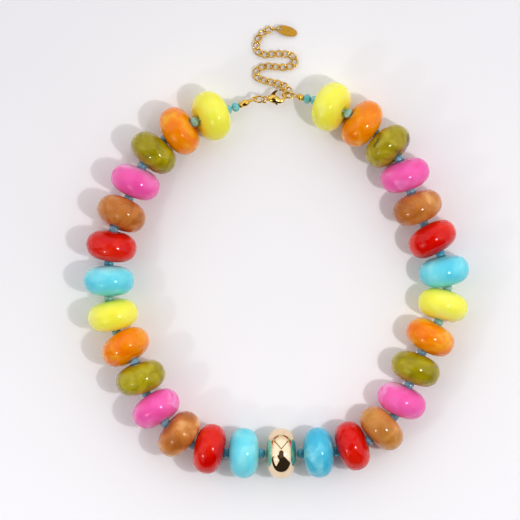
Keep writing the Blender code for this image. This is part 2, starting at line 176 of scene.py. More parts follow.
@dataclass(frozen=True)
class Finish:
    """A material of one shader. Each kind of finish works out the shader's inputs."""

    name: str

    def look(self, tree: bpy.types.NodeTree, place: bpy.types.NodeSocket) -> dict[str, Any]:
        """Work out the shader's inputs.

        Args:
            tree: Node tree of the material.
            place: Place on the object, in metres.

        Returns:
            The inputs, by name.
        """
        raise NotImplementedError

    def material(self) -> bpy.types.Material:
        """Build the material.

        Returns:
            The material.
        """
        material = bpy.data.materials.new(self.name)
        material.use_nodes = True
        tree = material.node_tree
        tree.nodes.clear()
        place = add_node(tree, "TexCoord").outputs["Object"]
        shader = add_node(tree, "BsdfPrincipled", self.look(tree, place))
        add_node(tree, "OutputMaterial", {"Surface": shader.outputs[0]})
        return material


@dataclass(frozen=True)
class CastResin(Finish):
    """Polyester resin cast with pigment folded in, then tumbled until it is glossy.

    The eye sees a wet gloss over a milky body that glows a little where it is thin, with soft folds
    where the pigment didn't mix.
    """

    slot: str
    body: str
    pale: str
    deep: str
    figure: Figure = Figure.SOFT
    fold_mm: float = 9.0
    wander_mm: float = 7.0
    pale_share: float = 0.6
    deep_share: float = 0.5
    glow_mm: float = 2.0
    roughness: float = 0.11
    sheen_mm: float = 4.0
    gloss_white: float = 0.38

    def look(self, tree: bpy.types.NodeTree, place: bpy.types.NodeSocket) -> dict[str, Any]:
        """Lay the folds and the sheen over the body.

        Args:
            tree: Node tree of the material.
            place: Place on the object, in metres.

        Returns:
            The shader's inputs, by name.
        """
        slow = {"Vector": place, "Scale": per_metre(2.0 * self.fold_mm), "Detail": 1.0}
        drift = add_node(tree, "TexNoise", slow)
        wander = (self.wander_mm * MM,) * 3
        shift = {0: drift.outputs["Color"], 1: wander, 2: place}
        moved = add_node(tree, "VectorMath", shift, operation="MULTIPLY_ADD").outputs[0]
        curl = self.figure.curl
        pour = {"Vector": moved, "Scale": per_metre(self.fold_mm), "Detail": 2.0, "Distortion": curl}
        folds = add_node(tree, "TexNoise", pour).outputs["Fac"]
        pale = ranged(tree, folds, *PALE_FOLDS, 0.0, self.pale_share)
        deep = ranged(tree, folds, *DEEP_FOLDS, 0.0, self.deep_share)
        colour = mixed(tree, pale, linear(self.body), linear(self.pale))
        colour = mixed(tree, deep, colour, linear(self.deep))
        if self.figure is not Figure.SOFT:
            colour = self.veined(tree, moved, colour)
        # A tumbled surface has a faint uneven sheen, in patches of a few millimetres
        patches = {"Vector": place, "Scale": per_metre(self.sheen_mm), "Detail": 3.0}
        sheen = add_node(tree, "TexNoise", patches).outputs["Fac"]
        rough = ranged(tree, sheen, *SHEEN_PATCHES, 0.8 * self.roughness, 1.3 * self.roughness)
        return {
            "Base Color": colour,
            "Roughness": rough,
            "IOR": RESIN_IOR,
            "Specular Tint": self.gloss(),
            "Subsurface Weight": 1.0,
            "Subsurface Radius": RESIN_GLOW,
            "Subsurface Scale": self.glow_mm * MM,
        }

    def gloss(self) -> tuple[float, float, float, float]:
        """Colour of the gloss: some white in the body's colour, as clear resin over pigment gives it."""
        return tuple((1.0 - self.gloss_white) * part + self.gloss_white for part in linear(self.body))

    def veined(
        self, tree: bpy.types.NodeTree, moved: bpy.types.NodeSocket, colour: bpy.types.NodeSocket
    ) -> bpy.types.NodeSocket:
        """Draw thin streaks of the deep pigment where the resin folded over.

        Args:
            tree: Node tree of the resin.
            moved: Place after the drift of the pour.
            colour: Colour so far.

        Returns:
            The colour with its streaks.
        """
        across = {"Vector": moved, "Scale": per_metre(0.7 * self.fold_mm), "Detail": 3.0, "Distortion": 1.2}
        level = add_node(tree, "TexNoise", across).outputs["Fac"]
        off = add_node(tree, "Math", {0: level, 1: 0.5}, operation="SUBTRACT").outputs[0]
        near = add_node(tree, "Math", {0: off}, operation="ABSOLUTE").outputs[0]
        return mixed(tree, ranged(tree, near, *VEIN_EDGE, 0.0, self.figure.veins), colour, linear(self.deep))


@dataclass(frozen=True)
class PlatedMetal(Finish):
    """Zinc alloy or brass with a plating, polished or brushed.

    The eye sees a mirror in the plating's colour, a little softer where it has been handled, and a
    duller and darker one where it was brushed.
    """

    slot: str
    bright: str
    worn: str
    roughness: float = 0.12
    grain_mm: float = 1.6
    worn_share: float = 0.7

    def look(self, tree: bpy.types.NodeTree, place: bpy.types.NodeSocket) -> dict[str, Any]:
        """Wear the plating in patches.

        Args:
            tree: Node tree of the material.
            place: Place on the object, in metres.

        Returns:
            The shader's inputs, by name.
        """
        patches = {"Vector": place, "Scale": per_metre(self.grain_mm), "Detail": 4.0}
        wear = add_node(tree, "TexNoise", patches).outputs["Fac"]
        worn = ranged(tree, wear, *WORN_PATCHES, 0.0, self.worn_share)
        colour = mixed(tree, worn, linear(self.bright), linear(self.worn))
        rough = ranged(tree, wear, *PLATING_PATCHES, 0.7 * self.roughness, 1.6 * self.roughness)
        return {"Base Color": colour, "Roughness": rough, "Metallic": 1.0}


@dataclass(frozen=True)
class PressedGlass(Finish):
    """Small pressed glass bead, fire-polished.

    The eye sees cloudy blue-green glass with one small bright point.
    """

    slot: str
    body: str
    core: str
    cloud_mm: float = 1.4
    glow_mm: float = 1.5
    roughness: float = 0.1
    clearness: float = 0.3

    def look(self, tree: bpy.types.NodeTree, place: bpy.types.NodeSocket) -> dict[str, Any]:
        """Cloud the glass with its core's colour.

        Args:
            tree: Node tree of the material.
            place: Place on the object, in metres.

        Returns:
            The shader's inputs, by name.
        """
        clouds = {"Vector": place, "Scale": per_metre(self.cloud_mm), "Detail": 2.0}
        share = ranged(tree, add_node(tree, "TexNoise", clouds).outputs["Fac"], *GLASS_CLOUDS)
        return {
            "Base Color": mixed(tree, share, linear(self.body), linear(self.core)),
            "Roughness": self.roughness,
            "IOR": GLASS_IOR,
            "Subsurface Weight": 1.0,
            "Subsurface Radius": GLASS_GLOW,
            "Subsurface Scale": self.glow_mm * MM,
            "Transmission Weight": self.clearness,
        }


@dataclass(frozen=True)
class TwistedNylon(Finish):
    """Twisted nylon beading thread, off-white, with a faint sheen along its strands and painted shade in the
    grooves of its twist.
    """

    slot: str
    body: str
    shade: str
    lay_mm: float = 0.8

    def look(self, tree: bpy.types.NodeTree, place: bpy.types.NodeSocket) -> dict[str, Any]:
        """Paint darker bands along the twist of the thread, as painted shade in the grooves between its
        strands.

        Args:
            tree: Node tree of the material.
            place: Place on the object, in metres.

        Returns:
            The shader's inputs, by name.
        """
        # A wave texture repeats about every 0.3 of its own unit
        scale = 0.3 * per_metre(self.lay_mm)
        lay = add_node(tree, "TexWave", {"Vector": place, "Scale": scale, "Distortion": 1.0})
        # Painted shade: the wave mixes in the darker colour where the grooves of the twist lie
        colour = mixed(tree, lay.outputs["Fac"], linear(self.body), linear(self.shade))
        return {"Base Color": colour, "Roughness": 0.55, "Sheen Weight": 0.2}


@dataclass(frozen=True)
class PhotoTable(Finish):
    """White laminated board under the necklace, matt with a soft sheen."""

    white: str
    shade: str
    patch_mm: float = 90.0

    def look(self, tree: bpy.types.NodeTree, place: bpy.types.NodeSocket) -> dict[str, Any]:
        """Vary the white a little.

        Args:
            tree: Node tree of the material.
            place: Place on the object, in metres.

        Returns:
            The shader's inputs, by name.
        """
        patches = {"Vector": place, "Scale": per_metre(self.patch_mm), "Detail": 2.0}
        patch = add_node(tree, "TexNoise", patches).outputs["Fac"]
        return {"Base Color": mixed(tree, patch, linear(self.white), linear(self.shade)), "Roughness": 0.6}


YELLOW = CastResin("yellow_resin", "resin_yellow", "#F6F258", "#F9F78E", "#F0EA38", fold_mm=11.0)
TANGERINE = CastResin(
    "tangerine_resin", "resin_tangerine", "#F29004", "#FFC03C", "#EA6400",
    Figure.STREAKED, fold_mm=10.0, pale_share=0.8,
)
OLIVE = CastResin(
    "olive_resin", "resin_olive", "#A29408", "#C6BA28", "#5E5400",
    Figure.CLOUDED, fold_mm=11.0, glow_mm=3.0,
)
PINK = CastResin("pink_resin", "resin_pink", "#F268B6", "#FDB0DE", "#E6409C", fold_mm=10.0, pale_share=0.85)
CARAMEL = CastResin(
    "caramel_resin", "resin_caramel", "#C88038", "#ECBC7C", "#964408",
    Figure.STREAKED, fold_mm=12.0, pale_share=0.75,
)
RED = CastResin("red_resin", "resin_red", "#D60802", "#EC381C", "#B40000", fold_mm=11.0)
TURQUOISE = CastResin("turquoise_resin", "resin_turquoise", "#74DCEA", "#B4F2F6", "#46C4E0", fold_mm=11.0)
# Three beads whose pigment lies unlike that of their kind
CURLED_TURQUOISE = CastResin(
    "curled_turquoise", "resin_turquoise", "#46BEDC", "#90E0EE", "#2CA8D0",
    Figure.STREAKED, fold_mm=10.0, pale_share=0.9,
)
SMOKY_OLIVE = CastResin(
    "smoky_olive", "resin_olive", "#A69612", "#CCBC34", "#463C08",
    Figure.CLOUDED, fold_mm=9.0, deep_share=0.8, glow_mm=3.0,
)
PALE_CARAMEL = CastResin(
    "pale_caramel", "resin_caramel", "#D29448", "#F2CA90", "#A05C1E",
    Figure.STREAKED, fold_mm=12.0, pale_share=0.8,
)
PALE_GOLD = PlatedMetal("pale_gold_plating", "plated_gold", "#F4DCB8", "#EBCDA4", 0.03)
WARM_GOLD = PlatedMetal("warm_gold_plating", "gold_metal", "#EBC25E", "#B8822A", 0.1)
BRUSHED_GOLD = PlatedMetal("brushed_gold_plating", "gold_metal", "#B88A30", "#946818", 0.26, 1.1)
AQUA_GLASS = PressedGlass("aqua_glass", "spacer_glass", "#9CE4EA", "#74CCD8")
# The aqua glass is the spacers' own colour; the next three paint in the reflected colour and the shade of the
# beads beside them
GLASS_PAINTED_SHADE = PressedGlass("glass_painted_shade", "spacer_glass", "#A4C8DA", "#7AA8C0")
GLASS_PAINTED_YELLOW_LIGHT = PressedGlass("glass_painted_yellow_light", "spacer_glass", "#B0DCCA", "#82C2B0")
GLASS_PAINTED_TURQUOISE_LIGHT = PressedGlass("glass_painted_turquoise_light", "spacer_glass", "#6CC6DC", "#48A8C8")
THREAD_NYLON = TwistedNylon("nylon_thread", "spacer_glass", "#EDEBE2", "#CFCBBE")
WHITE_BOARD = PhotoTable("white_board", "#F4F3F5", "#F0EFF1")

# Beads from the left end to the right: the run of colours twice, the gold one, and the same backwards
RESIN_RUN = (YELLOW, TANGERINE, OLIVE, PINK, CARAMEL, RED, TURQUOISE)
BEAD_FINISHES = 2 * RESIN_RUN + (PALE_GOLD,) + 2 * RESIN_RUN[::-1]
ODD_FINISHES = {16: CURLED_TURQUOISE, 18: PALE_CARAMEL, 27: SMOKY_OLIVE}


class Form:
    """A closed surface that is built ring by ring."""

    def __init__(self) -> None:
        """Start with no surface."""
        self.surface = bmesh.new()

    def ring(self, points: Iterable[Vector]) -> list[bmesh.types.BMVert]:
        """Add one ring of points."""
        return [self.surface.verts.new(point) for point in points]

    def bridge(self, rings: Sequence[Sequence[bmesh.types.BMVert]], closed: bool = False) -> None:
        """Join neighbouring rings with quads, and the last to the first when closed.

        Args:
            rings: Rings with equal numbers of points.
            closed: Whether the last ring joins the first.
        """
        pairs = list(zip(rings, rings[1:]))
        if closed:
            pairs.append((rings[-1], rings[0]))
        for first, second in pairs:
            for index in range(len(first)):
                after = (index + 1) % len(first)
                self.surface.faces.new((first[index], first[after], second[after], second[index]))

    def cap(self, *rings: Sequence[bmesh.types.BMVert]) -> None:
        """Close each ring with one face."""
        for ring in rings:
            self.surface.faces.new(ring)

    def turn(
        self, profile: Sequence[tuple[float, float]], placement: Matrix, sides: int, closed: bool
    ) -> None:
        """Turn a profile of (along, radius) points in metres about the placement's X axis.

        Args:
            profile: Points of the half-section.
            placement: Where the axis lies.
            sides: Steps round the axis.
            closed: Whether the last point joins the first; otherwise both ends are capped.
        """
        rings = []
        for along, radius in profile:
            turns = [2.0 * math.pi * index / sides for index in range(sides)]
            points = (Vector((along, radius * math.cos(a), radius * math.sin(a))) for a in turns)
            rings.append(self.ring([placement @ point for point in points]))
        self.bridge(rings, closed)
        if not closed:
            self.cap(rings[0], rings[-1])

    def tube(
        self,
        path: Sequence[Vector],
        radii: Sequence[float],
        up: Vector,
        sides: int,
        closed: bool = False,
        flatten: float = 1.0,
    ) -> None:
        """Run a round bar along a path.

        Args:
            path: Points of its middle line.
            radii: Radius at each point.
            up: Direction that is never along the path.
            sides: Steps round the bar.
            closed: Whether the path is a loop.
            flatten: Height of the section against its width.
        """
        rings = []
        last = len(path) - 1
        for index, middle in enumerate(path):
            before = path[index - 1] if closed or index else path[0]
            after = path[(index + 1) % len(path)] if closed or index < last else path[last]
            along = (after - before).normalized()
            side = up.cross(along).normalized()
            upright = along.cross(side)
            turns = [2.0 * math.pi * step / sides for step in range(sides)]
            spokes = [side * math.cos(a) + upright * math.sin(a) * flatten for a in turns]
            rings.append(self.ring([middle + spoke * radii[index] for spoke in spokes]))
        self.bridge(rings, closed)
        if not closed:
            self.cap(rings[0], rings[-1])

    def wire(
        self, path: Sequence[Vector], radius_mm: float, up: Vector, sides: int, closed: bool = True
    ) -> None:
        """Run a wire of one radius along a path."""
        self.tube(path, [radius_mm * MM] * len(path), up, sides, closed)

    def plate(self, outline: Sequence[tuple[float, float]], half_height: float, placement: Matrix) -> None:
        """Add a flat plate between minus and plus the half height, from an outline in metres.

        Args:
            outline: Points of (x, y).
            half_height: Half of the plate's thickness.
            placement: Where the plate lies, its thickness along Z.
        """
        lower = self.ring(placement @ Vector((x, y, -half_height)) for x, y in outline)
        upper = self.ring(placement @ Vector((x, y, half_height)) for x, y in outline)
        self.bridge([lower, upper])
        self.cap(lower, upper)

    def piece(self, name: str, material: bpy.types.Material, crease_deg: float = 50.0) -> bpy.types.Object:
        """Turn the surface into an object.

        Args:
            name: Name of the object.
            material: Its material.
            crease_deg: Edges that turn more than this stay sharp.

        Returns:
            The object, at the frame's origin.
        """
        bmesh.ops.recalc_face_normals(self.surface, faces=self.surface.faces)
        mesh = bpy.data.meshes.new(name)
        self.surface.to_mesh(mesh)
        self.surface.free()
        mesh.shade_smooth()
        mesh.set_sharp_from_angle(angle=math.radians(crease_deg))
        mesh.materials.append(material)
        item = bpy.data.objects.new(name, mesh)
        bpy.context.scene.collection.objects.link(item)
        return item


def combined(target: bpy.types.Object, other: bpy.types.Object, operation: str) -> None:
    """Apply one exact Boolean on an object and remove the other.

    Args:
        target: Object that is kept.
        other: Object that is joined or cut away.
        operation: UNION or DIFFERENCE.
    """
    cut = target.modifiers.new("fit", "BOOLEAN")
    cut.operation = operation
    cut.solver = "EXACT"
    cut.object = other
    settled = bpy.context.evaluated_depsgraph_get()
    mesh = bpy.data.meshes.new_from_object(target.evaluated_get(settled))
    target.modifiers.clear()
    target.data = mesh
    bpy.data.objects.remove(other, do_unlink=True)


def rounded(item: bpy.types.Object, width_mm: float, segments: int = 3) -> None:
    """Round an object's edges, and keep the result in its mesh.

    Args:
        item: Object whose sharp edges are rounded.
        width_mm: Width of the rounding.
        segments: Steps across it.
    """
    bevel = item.modifiers.new("round", "BEVEL")
    bevel.width = width_mm * MM
    bevel.segments = segments
    bevel.limit_method = "ANGLE"
    bevel.angle_limit = math.radians(35.0)
    bevel.harden_normals = True
    settled = bpy.context.evaluated_depsgraph_get()
    mesh = bpy.data.meshes.new_from_object(item.evaluated_get(settled))
    item.modifiers.clear()
    item.data = mesh


def dress(item: bpy.types.Object, body: str, slot: str, *nodes: str) -> bpy.types.Object:
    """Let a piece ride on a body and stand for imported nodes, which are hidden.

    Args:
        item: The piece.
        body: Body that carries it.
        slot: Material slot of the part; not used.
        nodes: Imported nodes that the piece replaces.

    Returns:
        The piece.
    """
    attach(item, body)
    if nodes:
        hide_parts(*nodes)
    return item


def direction(heading_deg: float, lean_deg: float = 0.0) -> Vector:
    """Unit vector along a heading in the plane, rising by a lean.

    Args:
        heading_deg: Turn from X towards Y.
        lean_deg: Rise above the level.

    Returns:
        The unit vector.
    """
    heading = math.radians(heading_deg)
    lean = math.radians(lean_deg)
    return Vector((math.cos(heading) * math.cos(lean), math.sin(heading) * math.cos(lean), math.sin(lean)))


def axes_along(forward: Vector, origin: Vector) -> Matrix:
    """Placement whose X runs forward, with Z as near upright as that allows.

    Args:
        forward: Direction of X.
        origin: Its middle.

    Returns:
        The placement.
    """
    side = Vector((0.0, 0.0, 1.0)).cross(forward).normalized()
    upright = forward.cross(side).normalized()
    return Matrix.Translation(origin) @ Matrix((forward, side, upright)).transposed().to_4x4()


def circle(radius_mm: float, middle: tuple[float, float] = (0.0, 0.0)) -> list[tuple[float, float]]:
    """Points of a circle in metres, from its radius and middle in millimetres.

    Args:
        radius_mm: Radius.
        middle: Middle as (x, y).

    Returns:
        Points of (x, y).
    """
    turns = [2.0 * math.pi * step / HOLE_STEPS for step in range(HOLE_STEPS)]
    x, y = middle
    return [((x + radius_mm * math.cos(t)) * MM, (y + radius_mm * math.sin(t)) * MM) for t in turns]


def smooth_path(knots: Sequence[Vector], steps: int) -> list[Vector]:
    """Points along a smooth curve through the knots, with equal steps in each span.

    Args:
        knots: Points that the curve goes through.
        steps: Steps from one knot to the next.

    Returns:
        Points of the curve.
    """
    padded = [knots[0] * 2.0 - knots[1], *knots, knots[-1] * 2.0 - knots[-2]]
    points = []
    for before, start, end, after in zip(padded, padded[1:], padded[2:], padded[3:]):
        for step in range(steps):
            t = step / steps
            even = start * 2.0 + (end - before) * t
            bend = (before * 2.0 - start * 5.0 + end * 4.0 - after) * t * t
            twist = (start * 3.0 - before - end * 3.0 + after) * t * t * t
            points.append((even + bend + twist) * 0.5)
    points.append(knots[-1])
    return points


def along_path(points: Sequence[Vector], distance: float) -> tuple[Vector, Vector]:
    """Point and unit direction at a distance along a row of points.

    Args:
        points: The row.
        distance: Distance from its first point.

    Returns:
        The point and the direction.
    """
    index = 0
    length = (points[1] - points[0]).length
    while distance > length and index + 2 < len(points):
        distance -= length
        index += 1
        length = (points[index + 1] - points[index]).length
    forward = (points[index + 1] - points[index]).normalized()
    return points[index] + forward * distance, forward


def oval_path(
    placement: Matrix, half_length: float, half_width: float, steps: int, twist_deg: float = 0.0
) -> list[Vector]:
    """Closed path of an oval link, a little fuller than an ellipse, in the placement's XY plane.

    Args:
        placement: Where the link lies, its length along X.
        half_length: Half of the path's length.
        half_width: Half of its width.
        steps: Points along the path.
        twist_deg: Turn of one end about the length, and of the other end the other way.

    Returns:
        Points of the path.
    """
    path = []
    fullness = 1.0 if half_length == half_width else LINK_FULLNESS
    for step in range(steps):
        angle = 2.0 * math.pi * (step + 0.5) / steps
        x, y = (math.copysign(abs(part) ** fullness, part) for part in (math.cos(angle), math.sin(angle)))
        middle = Vector((half_length * x, half_width * y, 0.0))
        roll = Matrix.Rotation(math.radians(twist_deg) * middle.x / half_length, 4, "X")
        path.append(placement @ roll @ middle)
    return path


@dataclass
class Layout:
    """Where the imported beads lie, and the fittings that are placed from the gold bead."""

    gold_number: int = BEAD_FINISHES.index(PALE_GOLD) + 1
    bead_count: int = len(BEAD_FINISHES)
    half_pitch_mm: float = 6.9
    gold_half_pitch_mm: float = 7.9
    end_half_pitch_mm: float = 7.75
    middles: list[Vector] = field(default_factory=list)
    forwards: list[Vector] = field(default_factory=list)

    def read(self) -> None:
        """Read every bead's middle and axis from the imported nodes."""
        for number in range(1, self.bead_count + 1):
            low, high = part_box(f"bead_{number:02d}")
            self.middles.append((low + high) * 0.5)
        for number in range(1, self.bead_count + 1):
            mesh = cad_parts[f"bead_{number:02d}"].data
            points = np.array([vertex.co for vertex in mesh.vertices])
            spread = np.cov((points - points.mean(axis=0)).T)
            thin = Vector(np.linalg.eigh(spread)[1][:, 0])
            following = self.middles[min(number, self.bead_count - 1)]
            onward = following - self.middles[max(number - 2, 0)]
            self.forwards.append(thin if thin.dot(onward) > 0.0 else -thin)

    def place(self, design: Sequence[float]) -> Vector:
        """Point in the frame for a design place in millimetres."""
        gold = self.middles[self.gold_number - 1]
        return Vector((gold.x + design[0] * MM, gold.y + design[1] * MM, design[2] * MM))

    def half_pitch(self, index: int) -> float:
        """Room that a bead takes along the strand, from its middle to the bend on either side.

        Args:
            index: Place of the bead, from 0 at the left end.

        Returns:
            The room in metres.
        """
        if index == self.gold_number - 1:
            return self.gold_half_pitch_mm * MM
        if index in (0, self.bead_count - 1):
            return self.end_half_pitch_mm * MM
        return self.half_pitch_mm * MM

    def bends(self) -> list[tuple[Vector, Vector]]:
        """Middle and direction of the spacer at each bend between two beads.

        Returns:
            One pair for each bend.
        """
        found = []
        for index in range(self.bead_count - 1):
            leaving = self.middles[index] + self.forwards[index] * self.half_pitch(index)
            entering = self.middles[index + 1] - self.forwards[index + 1] * self.half_pitch(index + 1)
            onward = (self.forwards[index] + self.forwards[index + 1]).normalized()
            found.append(((leaving + entering) * 0.5, onward))
        return found


@dataclass
class RoundBeads:
    """The large resin discs and the plated one at the front."""

    radius_mm: float = 10.0
    half_thickness_mm: float = 6.0
    face_fullness: float = 2.1
    rim_fullness: float = 3.1
    bore_mm: float = 0.9
    dimple_radius_mm: float = 2.6
    dimple_depth_mm: float = 1.15
    gold_dimple_depth_mm: float = 0.3
    sides: int = 72
    face_steps: int = 16
    dimple_steps: int = 5

    def profile(self, dimple_depth_mm: float) -> list[tuple[float, float]]:
        """Half-section of a bead, from one bore mouth over the outside to the other and back inside.

        Args:
            dimple_depth_mm: Depth of the dimple at each mouth.

        Returns:
            Points of (along, radius) in metres.
        """
        face_power = 2.0 / self.face_fullness
        rim_power = 2.0 / self.rim_fullness
        start = math.asin((self.dimple_radius_mm / self.radius_mm) ** (1.0 / rim_power))
        outside = []
        for step in range(self.face_steps + 1):
            angle = start + (0.5 * math.pi - start) * step / self.face_steps
            along = self.half_thickness_mm * max(math.cos(angle), 0.0) ** face_power
            outside.append((along, self.radius_mm * math.sin(angle) ** rim_power))
        top = outside[0][0]
        mouth = self.half_thickness_mm - dimple_depth_mm
        dimple = []
        for step in range(self.dimple_steps):
            share = step / self.dimple_steps
            ease = share * share * (3.0 - 2.0 * share)
            radius = self.bore_mm + (self.dimple_radius_mm - self.bore_mm) * share
            dimple.append((mouth + (top - mouth) * ease, radius))
        front = dimple + outside[:-1]
        back = [(-along, radius) for along, radius in reversed(front)]
        return [(along * MM, radius * MM) for along, radius in front + [outside[-1]] + back]

    def build(self, layout: Layout) -> None:
        """Make every bead in place and dress it.

        Args:
            layout: Where the beads lie.
        """
        made = {finish: finish.material() for finish in dict.fromkeys(BEAD_FINISHES)}
        odd = {number: finish.material() for number, finish in ODD_FINISHES.items()}
        for number, finish in enumerate(BEAD_FINISHES, start=1):
            gold = finish is PALE_GOLD
            depth = self.gold_dimple_depth_mm if gold else self.dimple_depth_mm
            placement = axes_along(layout.forwards[number - 1], layout.middles[number - 1])
            form = Form()
            form.turn(self.profile(depth), placement, self.sides, True)
            label = "gold_bead" if gold else "resin_bead"
            item = form.piece(f"{label}_{number:02d}", odd.get(number, made[finish]))
            dress(item, NECKLACE, finish.slot, f"bead_{number:02d}")
        LOG.info("beads: %d", len(BEAD_FINISHES))


@dataclass
class Stringing:
    """The small glass spacers and the thread through them."""

    spacer_radius_mm: float = 1.92
    spacer_half_length_mm: float = 1.75
    spacer_fullness: float = 2.15
    spacer_hole_mm: float = 0.45
    end_half_length_mm: float = 1.55
    thread_radius_mm: float = 0.36
    into_tip_mm: float = 1.0
    packed_half_thickness_mm: float = 5.95
    sides: int = 40
    profile_steps: int = 18
    thread_sides: int = 12
    thread_steps: int = 6

    def spacer(self, number: int, middle: Vector, forward: Vector, half_length_mm: float, glass: Any) -> None:
        """Make one spacer, a short barrel with a hole.

        Args:
            number: Number in its name.
            middle: Middle of the spacer.
            forward: Direction of its hole.
            half_length_mm: Half of its length.
            glass: Its material.
        """
        power = 2.0 / self.spacer_fullness
        start = math.asin((self.spacer_hole_mm / self.spacer_radius_mm) ** (1.0 / power))
        outside = []
        for step in range(self.profile_steps + 1):
            angle = start + (math.pi - 2.0 * start) * step / self.profile_steps
            lean = math.cos(angle)
            along = half_length_mm * math.copysign(abs(lean) ** power, lean)
            outside.append((along * MM, self.spacer_radius_mm * math.sin(angle) ** power * MM))
        form = Form()
        form.turn(outside, axes_along(forward, middle), self.sides, True)
        dress(form.piece(f"spacer_{number:02d}", glass), NECKLACE, AQUA_GLASS.slot)

    def build(self, layout: Layout, left_tip: Vector, right_tip: Vector) -> None:
        """Make the spacers and the thread.

        Args:
            layout: Where the beads lie.
            left_tip: Base of the left cord tip.
            right_tip: Base of the right cord tip.
        """
        glasses = (AQUA_GLASS, GLASS_PAINTED_SHADE, GLASS_PAINTED_YELLOW_LIGHT, GLASS_PAINTED_TURQUOISE_LIGHT)
        # Apart from aqua, these glasses hold painted shade and painted reflections of the neighbouring beads;
        # blue is the one with the painted turquoise reflection
        aqua, painted_shade_glass, yellow_light_glass, blue = (glass.material() for glass in glasses)
        bends = layout.bends()
        # Painted reflection and shade: each spacer's glass colour is picked from the beads beside it, greener
        # beside yellow, bluer beside turquoise, and a darker slate of painted shade between the others
        for number, (middle, forward) in enumerate(bends, start=1):
            beside = BEAD_FINISHES[number - 1 : number + 1]
            glass = yellow_light_glass if YELLOW in beside else blue if TURQUOISE in beside else painted_shade_glass
            self.spacer(number, middle, forward, self.spacer_half_length_mm, glass)
        half = self.packed_half_thickness_mm * MM
        left_mouth = layout.middles[0] - layout.forwards[0] * half
        right_mouth = layout.middles[-1] + layout.forwards[-1] * half
        number = len(bends)
        for mouth, base in ((left_mouth, left_tip), (right_mouth, right_tip)):
            forward = (base - mouth).normalized()
            clear = ((base - mouth).length - 4.0 * self.end_half_length_mm * MM) / 3.0
            step = forward * (clear + self.end_half_length_mm * MM)
            for middle in (mouth + step, base - step):
                number += 1
                self.spacer(number, middle, forward, self.end_half_length_mm, aqua)
        route = [left_tip + (left_tip - left_mouth).normalized() * self.into_tip_mm * MM, left_mouth]
        for index, middle in enumerate(layout.middles):
            if index:
                route.append(bends[index - 1][0])
            route.append(middle)
        route += [right_mouth, right_tip + (right_tip - right_mouth).normalized() * self.into_tip_mm * MM]
        path = smooth_path(route, self.thread_steps)
        form = Form()
        form.wire(path, self.thread_radius_mm, Vector((0.0, 0.0, 1.0)), self.thread_sides, closed=False)
        dress(form.piece("thread", THREAD_NYLON.material()), NECKLACE, THREAD_NYLON.slot, "strand")
        LOG.info("spacers: %d, thread: 1", number)


